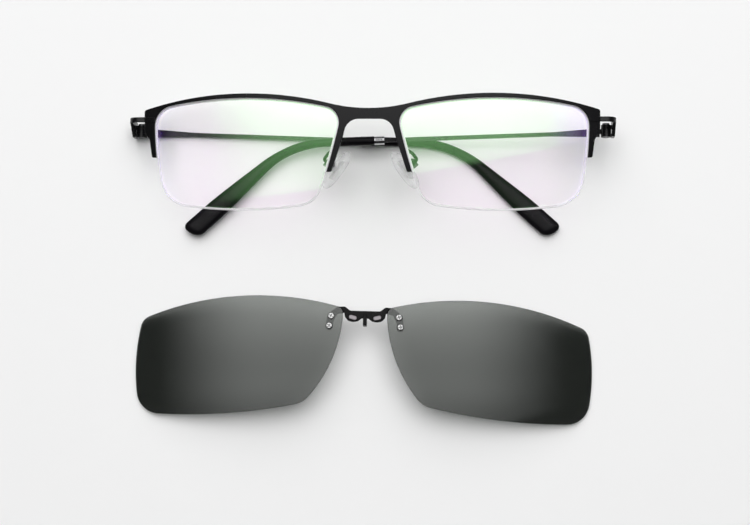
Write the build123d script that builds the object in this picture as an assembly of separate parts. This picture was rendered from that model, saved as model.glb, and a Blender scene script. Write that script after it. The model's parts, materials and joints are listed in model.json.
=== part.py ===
from build123d import *
import math
import os

# A pair of half-rim glasses lying face up on its folded temples, with the
# rimless sunglass shade that its bridge holds by magnets lying apart in front.
# Lengths are in millimetres and angles in degrees. +X is to the viewer's right,
# which is the wearer's left, +Y is towards the brow and +Z is up from the table.

# Lenses, with a groove all round, seen from in front. The middle of the pair is on
# x = 0, and corners and sides go nasal top, outer top, outer foot, nasal foot.
bridge_width = 17.6          # between the two lenses
lens_width = 55.4
lens_height = 32.8
lens_centre_y = -0.2
face_radius = 240.0          # sphere that the front face of the metal lies on
lens_set = 0.3               # lens face behind the metal's face
lens_thickness = 1.8
lens_rounds = (4.6, 6.0, 9.0, 7.5)
# each corner, and the middle of each side after it, as shares of the box's width and height
lens_corner_shares = ((-0.01, 0.39), (1.003, 0.40), (0.957, -0.44), (0.127, -0.435))
lens_side_shares = ((0.51, 0.5), (0.998, 0.0), (0.52, -0.5), (0.045, 0.015))
groove_depth = 0.45
groove_width = 0.56
groove_set = 0.62            # lens face to groove

# What holds the lenses in the metal
rim_gap = 0.33               # lens edge to metal, which the liner fills
liner_seat = 0.28            # how far the liner's bead sits into the metal
liner_face_set = 0.25        # liner lip behind the lens face
cord_proud = 0.24            # lens cord standing out of its groove
seat_gap = 0.03              # between pieces fitted together

# Front: one bent metal plate round the upper half of the lenses
front_depth = 2.2            # metal thickness from front to back
corner_width = 3.8           # lens to the outer side of the corner
brow_height = 1.6            # brow line above the top of the lens
bridge_dip = 4.2             # bridge's top below the brow line
bridge_height = 3.2
corner_round = 0.8
# ends of the corner and the legs, as shares of the lens box from its nasal middle
corner_top_share = 0.4012
corner_foot_share = 0.201
temporal_leg_shares = ((1.0402, 0.134), (1.0275, -0.0305))
nasal_leg_shares = ((-0.019, 0.1585), (0.0415, -0.1555))
arch_inset = 2.2             # lens to the arch under the bridge, at its top
arch_round = 4.2
knee_round = 12.0
leg_round = 0.6
block_round = 1.6
ridge_length = 3.2           # raised end of the end piece on the corner
ridge_lift = 0.3

# Magnets
magnet_spread = 3.64         # each magnet's centre from the middle of the bridge
magnet_drop = 0.2            # and below it
bridge_magnet_radius = 1.05
bridge_magnet_length = 1.1

# Pose on the table
pantoscopic_tilt = 10.0
roll = 3.0                   # the side whose temple lies on top is higher
temple_droops = (2.1, 1.65)  # of the temple on top, and of the one under it

# Hinges, with their axis across the temple
hinge_overhang = 2.4         # axis beyond the corner's outer side
hinge_drop = 3.6             # middle of the hinge below the end piece's bar
hinge_setback = 8.2          # axis behind the corner's front face
knuckle_radius = 1.5
knuckle_heights = (1.05, 1.4, 1.05)
knuckle_gap = 0.05
pin_radius = 0.55
running_gap = 0.04
hinge_head_radius = 1.1
hinge_head_height = 0.6
slot_width = 0.3
slot_depth = 0.25
turn_gap = 0.15              # knuckle to strap, and strap butt to temple butt

# End piece: a strap from the corner round to the hinge, with an open window
strap_thickness = 0.9
strap_bar_height = 1.4
strap_bend = 3.0
strap_bar_rise = 3.8         # its middle above the foot of the corner
strap_set = 0.25             # strap face behind the corner's front face
window_reach = 3.4           # where the window's slant starts, behind the bar
window_slant = 3.6

# Temples
temple_root_height = 2.6
temple_waist_height = 1.2
temple_waist_reach = 16.0
temple_metal_length = 66.8   # hinge axis to collar
collar_length = 3.0
collar_radius = 1.35
collar_slot = (2.2, 0.6)
core_radius = 0.6
core_share = 0.78            # how far the core runs along the sleeve
tip_length = 66.8
tip_lead_length = 14.5       # straight start of the sleeve
tip_bend_radius = 30.5
tip_bend_angle = 39.9
tip_height = 5.9             # at the paddle end
tip_waist = 2.7              # at the collar
tip_thickness = 2.7
tip_swell = (26.0, 58.0)     # where the sleeve starts and ends widening, along it
tip_end_round = 2.6
tip_end_fullness = 0.8       # 1 makes the paddle's end an ellipse, less makes it blunter
tip_bend_steps = 8           # straight stretches that the sleeve's outline is ruled in
tip_paddle_steps = 7
tip_end_steps = 5

# Nose pads on wire arms. Places are from the lens's nasal side on the front's middle line
pad_length = 13.4
pad_width = 7.4
pad_thickness = 2.5
pad_face_inset = 1.1         # flat of its faces inside its widest line
pad_steps = 4                # ruled steps from each face to the pad's widest line
pad_place = (1.4, -4.9, -10.0)
pad_lean = (0.64, -0.77)
pad_splay = 25.0
pad_stand = 2.45             # screw axis to the middle of the pad
insert_plate = (6.2, 3.0, 0.6)
tab_height = 1.7
tab_thickness = 1.0
box_side = 2.5
box_wall = 0.7
box_depth = 2.1
box_floor = 0.6
pad_screw_radius = 0.4
pad_screw_head = (0.75, 0.35)
arm_radius = 0.5
arm_root = (0.95, 1.3, -1.6)
arm_elbow = (1.6, 1.4, -5.0)
arm_knee = (3.6, 0.2, -7.8)
arm_rounds = (1.6, 1.4, 0.8)
arm_heel = 2.7               # last corner behind the screw axis

# Clip-on shade, which covers the front from corner to corner
clip_radius = 242.6
clip_lens_thickness = 1.05
clip_nasal_overlap = 1.8     # shade's lens past the lens behind it, towards the nose
clip_outer_overlap = 0.8     # and past the front's corner
clip_height_overlap = 1.4    # and past the lens's top and foot
clip_lens_rounds = (1.4, 2.6, 4.6, 5.5)
clip_corner_shares = ((0.0, 0.418), (0.975, 0.288), (0.972, -0.502), (0.175, -0.388))
clip_side_shares = ((0.41, 0.5), (1.0, -0.02), (0.55, -0.492), (0.052, -0.005))
clip_bar_rise = 0.2          # bar's top above the top of the bridge behind it
clip_bar_height = 1.7
clip_bar_gap = 0.1           # end of the bar to the lens
clip_lobe_rise = 0.2         # lobe's foot above the foot of the bridge behind it
# half of the bar's outline with its lobe and its shoulder, as shares of its reach and of its
# height above the lobe's foot
clip_face_shares = ((0.0, 1.0), (0.652, 1.0), (0.87, 1.375), (1.0, 1.375), (1.0, 1.03), (0.906, 0.844),
                    (0.87, 0.406), (0.71, 0.0), (0.29, 0.0), (0.145, 0.3125), (0.0, 0.3125))
clip_face_rounds = (0, 1.2, 1.0, 0, 0, 0.8, 1.2, 1.6, 1.0, 0.4, 0)
clip_arm_width = 2.3
clip_arm_tail = 1.3          # arm past the last screw
clip_arm_rounds = (1.3, 2.0, 1.0, 1.0, 1.2, 0.8)
clip_face_set = 0.1          # bar's face behind the sphere that the lens faces lie on
clip_arm_thickness = 0.8
clip_magnet_length = 2.4
clip_magnet_height = 1.2
clip_magnet_depth = 1.0
clip_magnet_turn = 14.0      # its outer end is higher
hook_width = 1.3
hook_thickness = 0.75
hook_gap = 0.25              # between the hook's lip and the back of the bridge
hook_lip = 1.7
clip_screw_offsets = ((3.1, -2.8), (3.6, -5.7))     # from the lens's nasal top corner
clip_screw_radius = 0.5
clip_head_radius = 1.05
clip_head_height = 0.5
clip_nut_radius = 1.15
clip_nut_height = 0.8
clip_bush_wall = 0.28
cross_length = 1.2
cross_width = 0.26
cross_depth = 0.3
cross_turn = 20.0

# Where the shade lies
clip_offset = (-2.0, -62.0)
clip_turn = -1.1

overrun = 4.0                # how far a cutting tool runs past what it cuts

# Places that follow from the sizes above
lens_left = bridge_width / 2
lens_right = lens_left + lens_width
front_half = lens_right + corner_width
brow_peak = lens_centre_y + lens_height / 2 + brow_height
bridge_top = brow_peak - bridge_dip
bridge_foot = bridge_top - bridge_height
magnet_y = (bridge_top + bridge_foot) / 2 - magnet_drop
corner_top = lens_centre_y + corner_top_share * lens_height
corner_foot = lens_centre_y + corner_foot_share * lens_height
strap_bar_y = corner_foot + strap_bar_rise
hinge_x = front_half + hinge_overhang
hinge_y = strap_bar_y - hinge_drop
clip_lens_left = lens_left - clip_nasal_overlap
clip_lens_width = front_half + clip_outer_overlap - clip_lens_left
clip_lens_height = lens_height + 2 * clip_height_overlap
clip_corner_y = clip_corner_shares[0][1] * clip_lens_height
clip_screw_places = [(clip_lens_left + x, clip_corner_y + y) for x, y in clip_screw_offsets]
clip_bar_top = bridge_top + clip_bar_rise
hook_foot = bridge_foot - hook_gap - hook_thickness


def circle_through(first, middle, last):
    """Centre and radius of the circle through three places."""
    (ax, ay), (bx, by), (cx, cy) = first, middle, last
    double = 2 * (ax * (by - cy) + bx * (cy - ay) + cx * (ay - by))
    a2, b2, c2 = ax * ax + ay * ay, bx * bx + by * by, cx * cx + cy * cy
    x = (a2 * (by - cy) + b2 * (cy - ay) + c2 * (ay - by)) / double
    y = (a2 * (cx - bx) + b2 * (ax - cx) + c2 * (bx - ax)) / double
    return Vector(x, y), math.hypot(ax - x, ay - y)


def meeting(first, second, near):
    """Where two circles cross, nearest a place."""
    (one, one_radius), (two, two_radius) = first, second
    apart = two - one
    along = (one_radius ** 2 - two_radius ** 2 + apart.length ** 2) / (2 * apart.length)
    aside = math.sqrt(one_radius ** 2 - along ** 2)
    foot = one + apart.normalized() * along
    turned = Vector(-apart.Y, apart.X).normalized() * aside
    return min((foot + turned, foot - turned), key=lambda point: (point - near).length)


def rounded(face, corners):
    """The face with its vertex nearest each place rounded."""
    for place, radius in corners:
        vertex = face.vertices().sort_by_distance((place[0], place[1], 0))[0]
        face = fillet(vertex, radius)
    return face


def on_box(box, shares):
    """Places given as shares of a box's width and height from the middle of its left side."""
    left, middle_y, width, height = box
    return [(left + x * width, middle_y + y * height) for x, y in shares]


def bowed_face(box, corner_shares, side_shares, rounds, grow=0):
    """Face of four outward bowed sides and round corners, grown by a margin all round."""
    corners = on_box(box, corner_shares)
    count = len(corners)
    circles, crowns = [], []
    for index, middle in enumerate(on_box(box, side_shares)):
        centre, radius = circle_through(corners[index], middle, corners[(index + 1) % count])
        outwards = (Vector(*middle) - centre).normalized()
        circles.append((centre, radius + grow))
        crowns.append(centre + outwards * (radius + grow))
    places = [
        meeting(circles[index - 1], circles[index], Vector(*corners[index])) for index in range(count)
    ]
    edges = [
        ThreePointArc(places[index], crowns[index], places[(index + 1) % count])
        for index in range(count)
    ]
    return rounded(
        make_face(edges), [((place.X, place.Y), size + grow) for place, size in zip(places, rounds)]
    )


def ball(radius, depth):
    """Sphere behind a dome's face, whose apex is at the origin."""
    seam_behind = Plane(origin=(0, 0, -radius), x_dir=(0, 0, -1), z_dir=(0, 1, 0))
    return Solid.make_sphere(radius - depth, seam_behind)


def domed(face, radius, outer, inner):
    """What a flat outline cuts from the wall between two depths behind a dome's face."""
    reach = front_half ** 2 / radius + overrun
    prism = extrude(Pos(0, 0, overrun) * face, amount=-(reach + inner + overrun))
    return (prism & ball(radius, outer)) - ball(radius, inner)


def single(shape):
    """The one solid of a result."""
    return max(shape.solids(), key=lambda solid: solid.volume)


lens_box = (lens_left, lens_centre_y, lens_width, lens_height)
temporal_leg = on_box(lens_box, temporal_leg_shares)
nasal_leg = on_box(lens_box, nasal_leg_shares)


def lens_outline(grow=0):
    return bowed_face(lens_box, lens_corner_shares, lens_side_shares, lens_rounds, grow)


def lens_band(inside, outside):
    """Band along the lens's edge, from inside it to outside it."""
    return lens_outline(outside) - lens_outline(-inside)


def held_region():
    """Half plane above the line through the ends of a lens's two metal legs."""
    nasal_x, nasal_y = nasal_leg[-1]
    outer_x, outer_y = temporal_leg[-1]
    rise = (outer_y - nasal_y) / (outer_x - nasal_x)
    left, right = 0, front_half + overrun
    points = [
        (left, nasal_y + rise * (left - nasal_x)),
        (right, nasal_y + rise * (right - nasal_x)),
        (right, brow_peak + overrun),
        (left, brow_peak + overrun),
    ]
    return make_face(Polyline(*points, close=True))


def front_outline():
    """Half of the front, seen from in front, with the lens not yet cut out."""
    peak_x = lens_left + lens_width / 2
    brow_reach, brow_fall = front_half - peak_x, brow_peak - corner_top
    brow_radius = (brow_reach ** 2 + brow_fall ** 2) / (2 * brow_fall)
    dip_radius = (peak_x ** 2 + bridge_dip ** 2) / (2 * bridge_dip) - brow_radius
    dip_centre = Vector(0, bridge_top + dip_radius)
    brow_centre = Vector(peak_x, brow_peak - brow_radius)
    join = dip_centre + (brow_centre - dip_centre) * (dip_radius / (dip_radius + brow_radius))
    half_angle = math.asin(join.X / dip_radius) / 2
    dip_middle = dip_centre + Vector(math.sin(half_angle), -math.cos(half_angle)) * dip_radius
    brow_middle = brow_centre + Vector(brow_reach / 2, math.sqrt(brow_radius ** 2 - (brow_reach / 2) ** 2))
    corner = (front_half, corner_top)
    block_foot = (front_half, corner_foot)
    arch = (lens_left - arch_inset, bridge_foot)
    temporal_top, temporal_end = temporal_leg
    knee, nasal_end = nasal_leg
    edges = [
        Line((0, bridge_foot), (0, bridge_top)),
        ThreePointArc((0, bridge_top), dip_middle, join),
        ThreePointArc(join, brow_middle, corner),
        Polyline(
            corner,
            block_foot,
            temporal_top,
            temporal_end,
            (peak_x, temporal_end[1]),
            (peak_x, nasal_end[1]),
            nasal_end,
            knee,
            arch,
            (0, bridge_foot),
        ),
    ]
    face = make_face(edges)
    return rounded(
        face,
        [
            (corner, corner_round),
            (block_foot, block_round),
            (temporal_top, block_round),
            (temporal_end, leg_round),
            (nasal_end, leg_round),
            (knee, knee_round),
            (arch, arch_round),
        ],
    )


def bridge_magnet(depth_gap, radius_gap):
    """Disc let into the back of the bridge, or its pocket with the gaps given."""
    disc = Pos(magnet_spread, magnet_y) * Circle(bridge_magnet_radius + radius_gap)
    outer = front_depth - bridge_magnet_length - depth_gap
    return domed(disc, face_radius, outer, front_depth + depth_gap)


def front_frame():
    half = front_outline() - lens_outline(rim_gap)
    shape = domed(half + mirror(half, about=Plane.YZ), face_radius, 0, front_depth)
    bead = lens_outline(rim_gap + liner_seat) & held_region()
    bead_cut = domed(bead, face_radius, lens_set + groove_set, lens_set + groove_set + groove_width)
    ridge = Pos(front_half - ridge_length / 2, strap_bar_y) * Rectangle(ridge_length, strap_bar_height)
    lifted = domed(ridge, face_radius, -ridge_lift, front_depth / 2)
    pocket = bridge_magnet(seat_gap, seat_gap)
    for side in (bead_cut, mirror(bead_cut, about=Plane.YZ)):
        shape -= side
    for side in (pocket, mirror(pocket, about=Plane.YZ)):
        shape -= side
    for side in (lifted, mirror(lifted, about=Plane.YZ)):
        shape += side
    return single(shape)


def lens():
    body = domed(lens_outline(), face_radius, lens_set, lens_set + lens_thickness)
    band = lens_band(groove_depth, overrun)
    first = lens_set + groove_set
    return single(body - domed(band, face_radius, first, first + groove_width))


def rim_liner():
    first = lens_set + groove_set + seat_gap
    bead = lens_band(groove_depth - seat_gap, rim_gap + liner_seat - seat_gap)
    lip = lens_band(-seat_gap, rim_gap - seat_gap)
    keep = held_region()
    lip_first = lens_set + liner_face_set
    shape = domed(bead & keep, face_radius, first, first + groove_width - 2 * seat_gap)
    shape += domed(lip & keep, face_radius, lip_first, lens_set + lens_thickness - liner_face_set)
    return single(shape)


def lens_cord():
    first = lens_set + groove_set + seat_gap
    band = lens_band(groove_depth - seat_gap, cord_proud) - held_region()
    return single(domed(band, face_radius, first, first + groove_width - 2 * seat_gap))


def corner_depth():
    """Height of the corner's front face where the end piece starts."""
    flat = front_half ** 2 + strap_bar_y ** 2
    return math.sqrt(face_radius ** 2 - flat) - face_radius


hinge_z = corner_depth() - hinge_setback
strap_outer = knuckle_radius + turn_gap + strap_thickness     # strap's outer face from the hinge axis
stack_height = sum(knuckle_heights) + 2 * knuckle_gap
strap_butt = knuckle_radius + turn_gap                         # strap's end behind the axis
temple_butt = strap_butt + turn_gap

tilt = Pos(0, hinge_y, hinge_z) * Rot(X=pantoscopic_tilt) * Pos(0, -hinge_y, -hinge_z)


def knuckle(index):
    """Plane under one knuckle of the stack about the origin, and its height."""
    foot = -stack_height / 2 + sum(knuckle_heights[:index]) + index * knuckle_gap
    height = knuckle_heights[index]
    along = Plane(origin=(0, foot, 0), x_dir=(1, 0, 0), z_dir=(0, 1, 0))
    return along, height


def hinge_round(radius, index):
    along, height = knuckle(index)
    return extrude(along * Circle(radius), amount=height)


def hinge_screw():
    along = Plane(origin=(0, -stack_height / 2, 0), x_dir=(1, 0, 0), z_dir=(0, 1, 0))
    shank = extrude(along * Circle(pin_radius), amount=stack_height)
    top = Plane(origin=(0, stack_height / 2, 0), x_dir=(1, 0, 0), z_dir=(0, 1, 0))
    head = extrude(top * Circle(hinge_head_radius), amount=hinge_head_height)
    head = fillet(head.faces().sort_by(Axis.Y)[-1].edges(), hinge_head_height / 3)
    slot = Pos(0, stack_height / 2 + hinge_head_height - slot_depth / 2, 0) * Box(
        2 * hinge_head_radius + overrun, slot_depth, slot_width
    )
    return single(shank + head - slot)


def end_piece():
    """Strap for the +X corner, about its hinge axis at the origin."""
    start = tilt * Pos(front_half, strap_bar_y, corner_depth() - strap_set - strap_thickness / 2)
    bar_x = front_half - hinge_x
    bar_y = start.position.Y - hinge_y
    bar_z = start.position.Z - hinge_z
    outer_z = bar_z + strap_thickness / 2
    inner_z = bar_z - strap_thickness / 2
    strap_inner = strap_outer - strap_thickness
    outline = make_face(
        Polyline(
            (bar_x, outer_z),
            (strap_outer, outer_z),
            (strap_outer, -strap_butt),
            (strap_inner, -strap_butt),
            (strap_inner, inner_z),
            (bar_x, inner_z),
            close=True,
        )
    )
    outline = rounded(
        outline,
        [((strap_outer, outer_z), strap_bend), ((strap_inner, inner_z), strap_bend - strap_thickness)],
    )
    top = bar_y + strap_bar_height / 2
    foot = -stack_height / 2
    across = Plane(origin=(0, top, 0), x_dir=(1, 0, 0), z_dir=(0, -1, 0))
    shape = extrude(across * outline, amount=top - foot)
    bar_foot = bar_y - strap_bar_height / 2
    slant_top = inner_z + strap_thickness - window_reach
    window = [
        (bar_foot, outer_z + overrun),
        (bar_foot, slant_top),
        (foot - overrun, slant_top - window_slant * (bar_foot - foot + overrun) / (bar_foot - foot)),
        (foot - overrun, outer_z + overrun),
    ]
    side = make_face(Polyline(*[(0, y, z) for y, z in window], close=True))
    shape -= extrude(side, amount=strap_outer + overrun, both=True)
    for index in (0, 2):
        along, height = knuckle(index)
        web = Pos(strap_inner / 2 + running_gap, 0) * Rectangle(strap_inner + 2 * running_gap, knuckle_radius)
        shape += extrude(along * web, amount=height)
        shape += hinge_round(knuckle_radius, index)
    bore = Plane(origin=(0, -stack_height, 0), x_dir=(1, 0, 0), z_dir=(0, 1, 0))
    shape -= extrude(bore * Circle(pin_radius + running_gap), amount=2 * stack_height)
    return single(shape)


def tip_path():
    """Centre line of the sleeve on its plane, from the collar outwards."""
    start = Vector(-temple_metal_length - collar_length, 0)
    bend_start = start + Vector(-tip_lead_length, 0)
    centre = bend_start + Vector(0, -tip_bend_radius)
    angle = math.radians(tip_bend_angle)
    bend_end = centre + Vector(-math.sin(angle), math.cos(angle)) * tip_bend_radius
    last = tip_length - tip_lead_length - angle * tip_bend_radius
    end = bend_end + Vector(-math.cos(angle), -math.sin(angle)) * last
    middle = centre + Vector(-math.sin(angle / 2), math.cos(angle / 2)) * tip_bend_radius
    return Wire([Line(start, bend_start).edge(), ThreePointArc(bend_start, middle, bend_end).edge(),
                 Line(bend_end, end).edge()])


sleeve_lift = tip_thickness / 2 - strap_outer                  # sleeve's centre above the hinge axis


def section_plane(path, share):
    """Plane across the sleeve, with its x along the sleeve's height."""
    point = path.position_at(share)
    along = path.tangent_at(share)
    return Plane(origin=point, x_dir=Vector(-along.Y, along.X, 0), z_dir=along)


def tip_section(path, reach, size=1):
    """Oval across the sleeve at a distance along it."""
    first, last = tip_swell
    share = min(max((reach - first) / (last - first), 0), 1)
    height = tip_waist + (tip_height - tip_waist) * share * share * (3 - 2 * share)
    return section_plane(path, reach / tip_length) * Ellipse(size * height / 2, size * tip_thickness / 2)


def temple_tip():
    """Sleeve over the core, swelling from the collar to a rounded paddle."""
    path = tip_path()
    bend_length = math.radians(tip_bend_angle) * tip_bend_radius
    bend_end = tip_lead_length + bend_length
    round_start = tip_length - tip_end_round
    sections = [tip_section(path, 0)]
    for step in range(tip_bend_steps):
        sections.append(tip_section(path, tip_lead_length + bend_length * step / tip_bend_steps))
    for step in range(tip_paddle_steps + 1):
        reach = bend_end + (round_start - bend_end) * step / tip_paddle_steps
        sections.append(tip_section(path, reach))
    for step in range(1, tip_end_steps + 1):
        turn = math.radians(90 * step / (tip_end_steps + 0.5))
        size = math.cos(turn) ** tip_end_fullness
        sections.append(tip_section(path, round_start + tip_end_round * math.sin(turn), size))
    shape = loft(sections, ruled=True)
    return single(Pos(0, 0, sleeve_lift) * (shape - core(running_gap)))


def core(gap):
    """Round wire inside the collar and the sleeve, or the hole for it."""
    path = tip_path()
    start = path.position_at(0)
    reach = path.trim(0, core_share)
    round_wire = sweep(section_plane(path, 0) * Circle(core_radius + gap), path=reach)
    lead = Plane(origin=start, z_dir=(1, 0, 0)) * Circle(core_radius + gap)
    return round_wire + extrude(lead, amount=collar_length)


def temple_collar():
    start = Plane(origin=(-temple_metal_length, 0, sleeve_lift), z_dir=(-1, 0, 0))
    shape = extrude(start * Circle(collar_radius), amount=collar_length)
    shape -= extrude(start * Circle(core_radius + running_gap), amount=collar_length)
    slot = Pos(-temple_metal_length - collar_length / 2, 0, sleeve_lift + collar_radius)
    shape -= slot * Box(collar_slot[0], collar_slot[1], collar_slot[1])
    return single(shape)


def temple_strip():
    """Flat spring strip, and the wire that it ends in."""
    half = strap_thickness / 2
    root_z = -strap_outer + half
    side = make_face(
        Polyline(
            (-temple_butt, 0, root_z + half),
            (-temple_metal_length, 0, sleeve_lift + half),
            (-temple_metal_length, 0, sleeve_lift - half),
            (-temple_butt, 0, root_z - half),
            close=True,
        )
    )
    root, waist = temple_root_height / 2, temple_waist_height / 2
    plan = make_face(
        Polyline(
            (-temple_butt, root),
            (-temple_waist_reach, waist),
            (-temple_metal_length, waist),
            (-temple_metal_length, -waist),
            (-temple_waist_reach, -waist),
            (-temple_butt, -root),
            close=True,
        )
    )
    shape = extrude(side, amount=temple_root_height, both=True)
    shape &= extrude(Pos(0, 0, -strap_outer - overrun) * plan, amount=strap_outer + 2 * overrun)
    return shape + Pos(0, 0, sleeve_lift) * core(0)


def temple(droop):
    strip = Rot(Z=droop) * temple_strip()
    along, height = knuckle(1)
    foot = along.origin.Y
    inner = -strap_outer + strap_thickness
    web = [
        (0, 0),
        (-knuckle_radius, 0),
        (-2 * temple_butt, inner),
        (-2 * temple_butt, -strap_outer),
        (-temple_butt, -strap_outer),
        (-temple_butt, -knuckle_radius),
        (-knuckle_radius / 2, -knuckle_radius / 2),
    ]
    tang_face = make_face(Polyline(*[(x, foot, z) for x, z in web], close=True))
    tang = extrude(tang_face, amount=height, dir=(0, 1, 0))
    bore = Plane(origin=(0, -stack_height, 0), x_dir=(1, 0, 0), z_dir=(0, 1, 0))
    shape = strip + tang + hinge_round(knuckle_radius, 1)
    shape -= extrude(bore * Circle(pin_radius + running_gap), amount=2 * stack_height)
    return single(shape)


def pad_axes():
    """Axes of the +X pad: along its length, across it, and towards the nose."""
    splay = math.radians(pad_splay)
    across = Vector(math.sin(splay), 0, -math.cos(splay))
    lean = Vector(pad_lean[0], pad_lean[1], 0)
    along = (lean - across * lean.dot(across)).normalized()
    return along, across, across.cross(along)


def pad_plane():
    """Plane on the pad's screw axis: x along the pad, y along the screw, z to the nose."""
    along, across, towards = pad_axes()
    place = Vector(lens_left, 0, 0) + Vector(*pad_place)
    return Plane(origin=place - towards * pad_stand, x_dir=along, z_dir=towards)


def insert_shape(gap=0.0):
    length, width, thickness = (size + 2 * gap for size in insert_plate)
    back = pad_stand - pad_thickness / 2
    plate = Pos(0, 0, pad_stand) * Box(length, width, thickness)
    neck = Pos(0, 0, (back + pad_stand) / 2) * Box(tab_height + 2 * gap, tab_thickness + 2 * gap, pad_stand - back)
    return plate, neck


def nose_pad():
    """Oval cushion, its faces flat at the middle and its rim round."""
    sections = []
    for step in range(-pad_steps, pad_steps + 1):
        turn = math.radians(90 * step / pad_steps)
        inset = pad_face_inset * (1 - math.cos(turn))
        outline = Ellipse(pad_length / 2 - inset, pad_width / 2 - inset)
        sections.append(Pos(0, 0, pad_stand + pad_thickness / 2 * math.sin(turn)) * outline)
    plate, neck = insert_shape(seat_gap)
    return single(loft(sections, ruled=True) - plate - neck)


def pad_insert():
    plate, neck = insert_shape()
    stem_length = pad_stand - pad_thickness / 2
    stem = Pos(0, 0, stem_length / 2) * Box(tab_height, tab_thickness, stem_length)
    across = Plane(origin=(0, tab_thickness / 2, 0), z_dir=(0, -1, 0))
    eye = extrude(across * Circle(tab_height / 2), amount=tab_thickness)
    bore = extrude(across * Circle(pad_screw_radius + running_gap), amount=tab_thickness)
    return single(plate + neck + stem + eye - bore)


def pad_screw():
    radius, height = pad_screw_head
    start = Plane(origin=(0, -box_side / 2, 0), z_dir=(0, 1, 0))
    top = Plane(origin=(0, box_side / 2, 0), z_dir=(0, 1, 0))
    shape = extrude(start * Circle(pad_screw_radius), amount=box_side)
    shape += extrude(top * Circle(radius), amount=height)
    slot = Pos(0, box_side / 2 + height, 0) * Box(2 * radius + overrun, height, slot_width)
    return single(shape - slot)


def pad_arm():
    """Wire from the back of the nasal leg to the cup that holds the pad's tab."""
    seat = pad_plane()
    slot_foot = -tab_height / 2 - turn_gap
    cup_foot = slot_foot - box_floor
    cup = Pos(0, 0, cup_foot + box_depth / 2) * Box(box_side, box_side, box_depth)
    cup = fillet(cup.edges().filter_by(Axis.Z), box_wall / 2)
    slot = Pos(0, 0, slot_foot + box_depth / 2) * Box(
        box_side + overrun, tab_thickness + 2 * running_gap, box_depth
    )
    across = Plane(origin=(0, box_side, 0), z_dir=(0, -1, 0))
    bore = extrude(across * Circle(pad_screw_radius + running_gap), amount=2 * box_side)
    cup = cup - slot - bore
    towards = pad_axes()[2]
    heel = seat.origin - towards * arm_heel
    floor = seat.origin + towards * (cup_foot + box_floor / 2)
    bends = [Vector(lens_left, 0, 0) + Vector(*place) for place in (arm_root, arm_elbow, arm_knee)]
    route = FilletPolyline(*bends, heel, floor, radius=arm_rounds)
    start = Plane(origin=route @ 0, z_dir=route % 0)
    wire = sweep(start * Circle(arm_radius), path=route)
    return single((wire & ball(face_radius, front_depth)) + seat * cup)


def clip_outline():
    box = (clip_lens_left, 0, clip_lens_width, clip_lens_height)
    return bowed_face(box, clip_corner_shares, clip_side_shares, clip_lens_rounds)


def at_screws(radius):
    """Discs at the two screws of one side."""
    return [Pos(x, y) * Circle(radius) for x, y in clip_screw_places]


bush_radius = clip_screw_radius + running_gap + clip_bush_wall


def clip_lens():
    shape = domed(clip_outline(), clip_radius, 0, clip_lens_thickness)
    for disc in at_screws(bush_radius + seat_gap):
        shape -= domed(disc, clip_radius, -overrun, clip_lens_thickness + overrun)
    return single(shape)


arm_outer = clip_lens_thickness + seat_gap                      # arm behind the lens
arm_inner = arm_outer + clip_arm_thickness


def clip_magnet(gap):
    """Slot-shaped magnet in the lobe's face, or its pocket with the gap given."""
    outline = Pos(magnet_spread, magnet_y) * SlotOverall(
        clip_magnet_length + 2 * gap, clip_magnet_height + 2 * gap, rotation=clip_magnet_turn
    )
    return domed(outline, clip_radius, clip_face_set - gap, clip_face_set + clip_magnet_depth + gap)


def clip_face():
    """Half of the bar with its lobe and shoulder, seen from in front."""
    lobe_foot = bridge_foot + clip_lobe_rise
    box = (0, lobe_foot, clip_lens_left - clip_bar_gap, clip_bar_top - lobe_foot)
    corners = on_box(box, clip_face_shares)
    face = make_face(Polyline(*corners, close=True))
    return rounded(face, [(corner, size) for corner, size in zip(corners, clip_face_rounds) if size])


def clip_arm():
    """Arm from the shoulder to behind the lens, seen from in front."""
    crest = bridge_foot + clip_lobe_rise + clip_face_shares[2][1] * (clip_bar_top - bridge_foot - clip_lobe_rise)
    (first_x, first_y), (last_x, last_y) = clip_screw_places
    half, foot = clip_arm_width / 2, last_y - clip_arm_tail
    corners = [
        (clip_lens_left + half, crest),
        (first_x + half, first_y + half / 2),
        (last_x + half, foot),
        (last_x - half, foot),
        (last_x - half, last_y + half),
        (first_x - 3 * half / 2, first_y + half / 2),
    ]
    root = clip_lens_left - half
    arm = make_face(Polyline((root, crest), *corners, (root, clip_bar_top - half / 2), close=True))
    arm = rounded(arm, list(zip(corners, clip_arm_rounds)))
    for disc in at_screws(clip_screw_radius + running_gap):
        arm -= disc
    return arm


def clip_bridge():
    """Bar with two lobes, the arms that hold the lenses, and the hook in the middle."""
    bar_middle = clip_bar_top - clip_bar_height / 2
    hook_height = bar_middle - hook_foot
    stem = Pos(0, hook_foot + hook_height / 2) * Rectangle(hook_width, hook_height)
    tongue = Pos(0, hook_foot + hook_thickness / 2) * Rectangle(hook_width, hook_thickness)
    lip = Pos(0, hook_foot + hook_lip / 2) * Rectangle(hook_width, hook_lip)
    bridge_back = clip_radius - face_radius + front_depth
    face = clip_face()
    shape = domed(face + mirror(face, about=Plane.YZ), clip_radius, clip_face_set, arm_inner)
    shape += domed(stem, clip_radius, arm_inner - hook_thickness, arm_inner)
    shape += domed(tongue, clip_radius, arm_inner - hook_thickness, bridge_back + hook_gap + hook_thickness)
    shape += domed(lip, clip_radius, bridge_back + hook_gap, bridge_back + hook_gap + hook_thickness)
    arm = domed(clip_arm(), clip_radius, arm_outer, arm_inner)
    shape += arm + mirror(arm, about=Plane.YZ)
    pocket = clip_magnet(seat_gap)
    shape -= pocket + mirror(pocket, about=Plane.YZ)
    return single(shape)


def surface_height(x, y):
    """Height of the clip's dome at a place seen from in front."""
    return math.sqrt(clip_radius ** 2 - x ** 2 - y ** 2) - clip_radius


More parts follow.
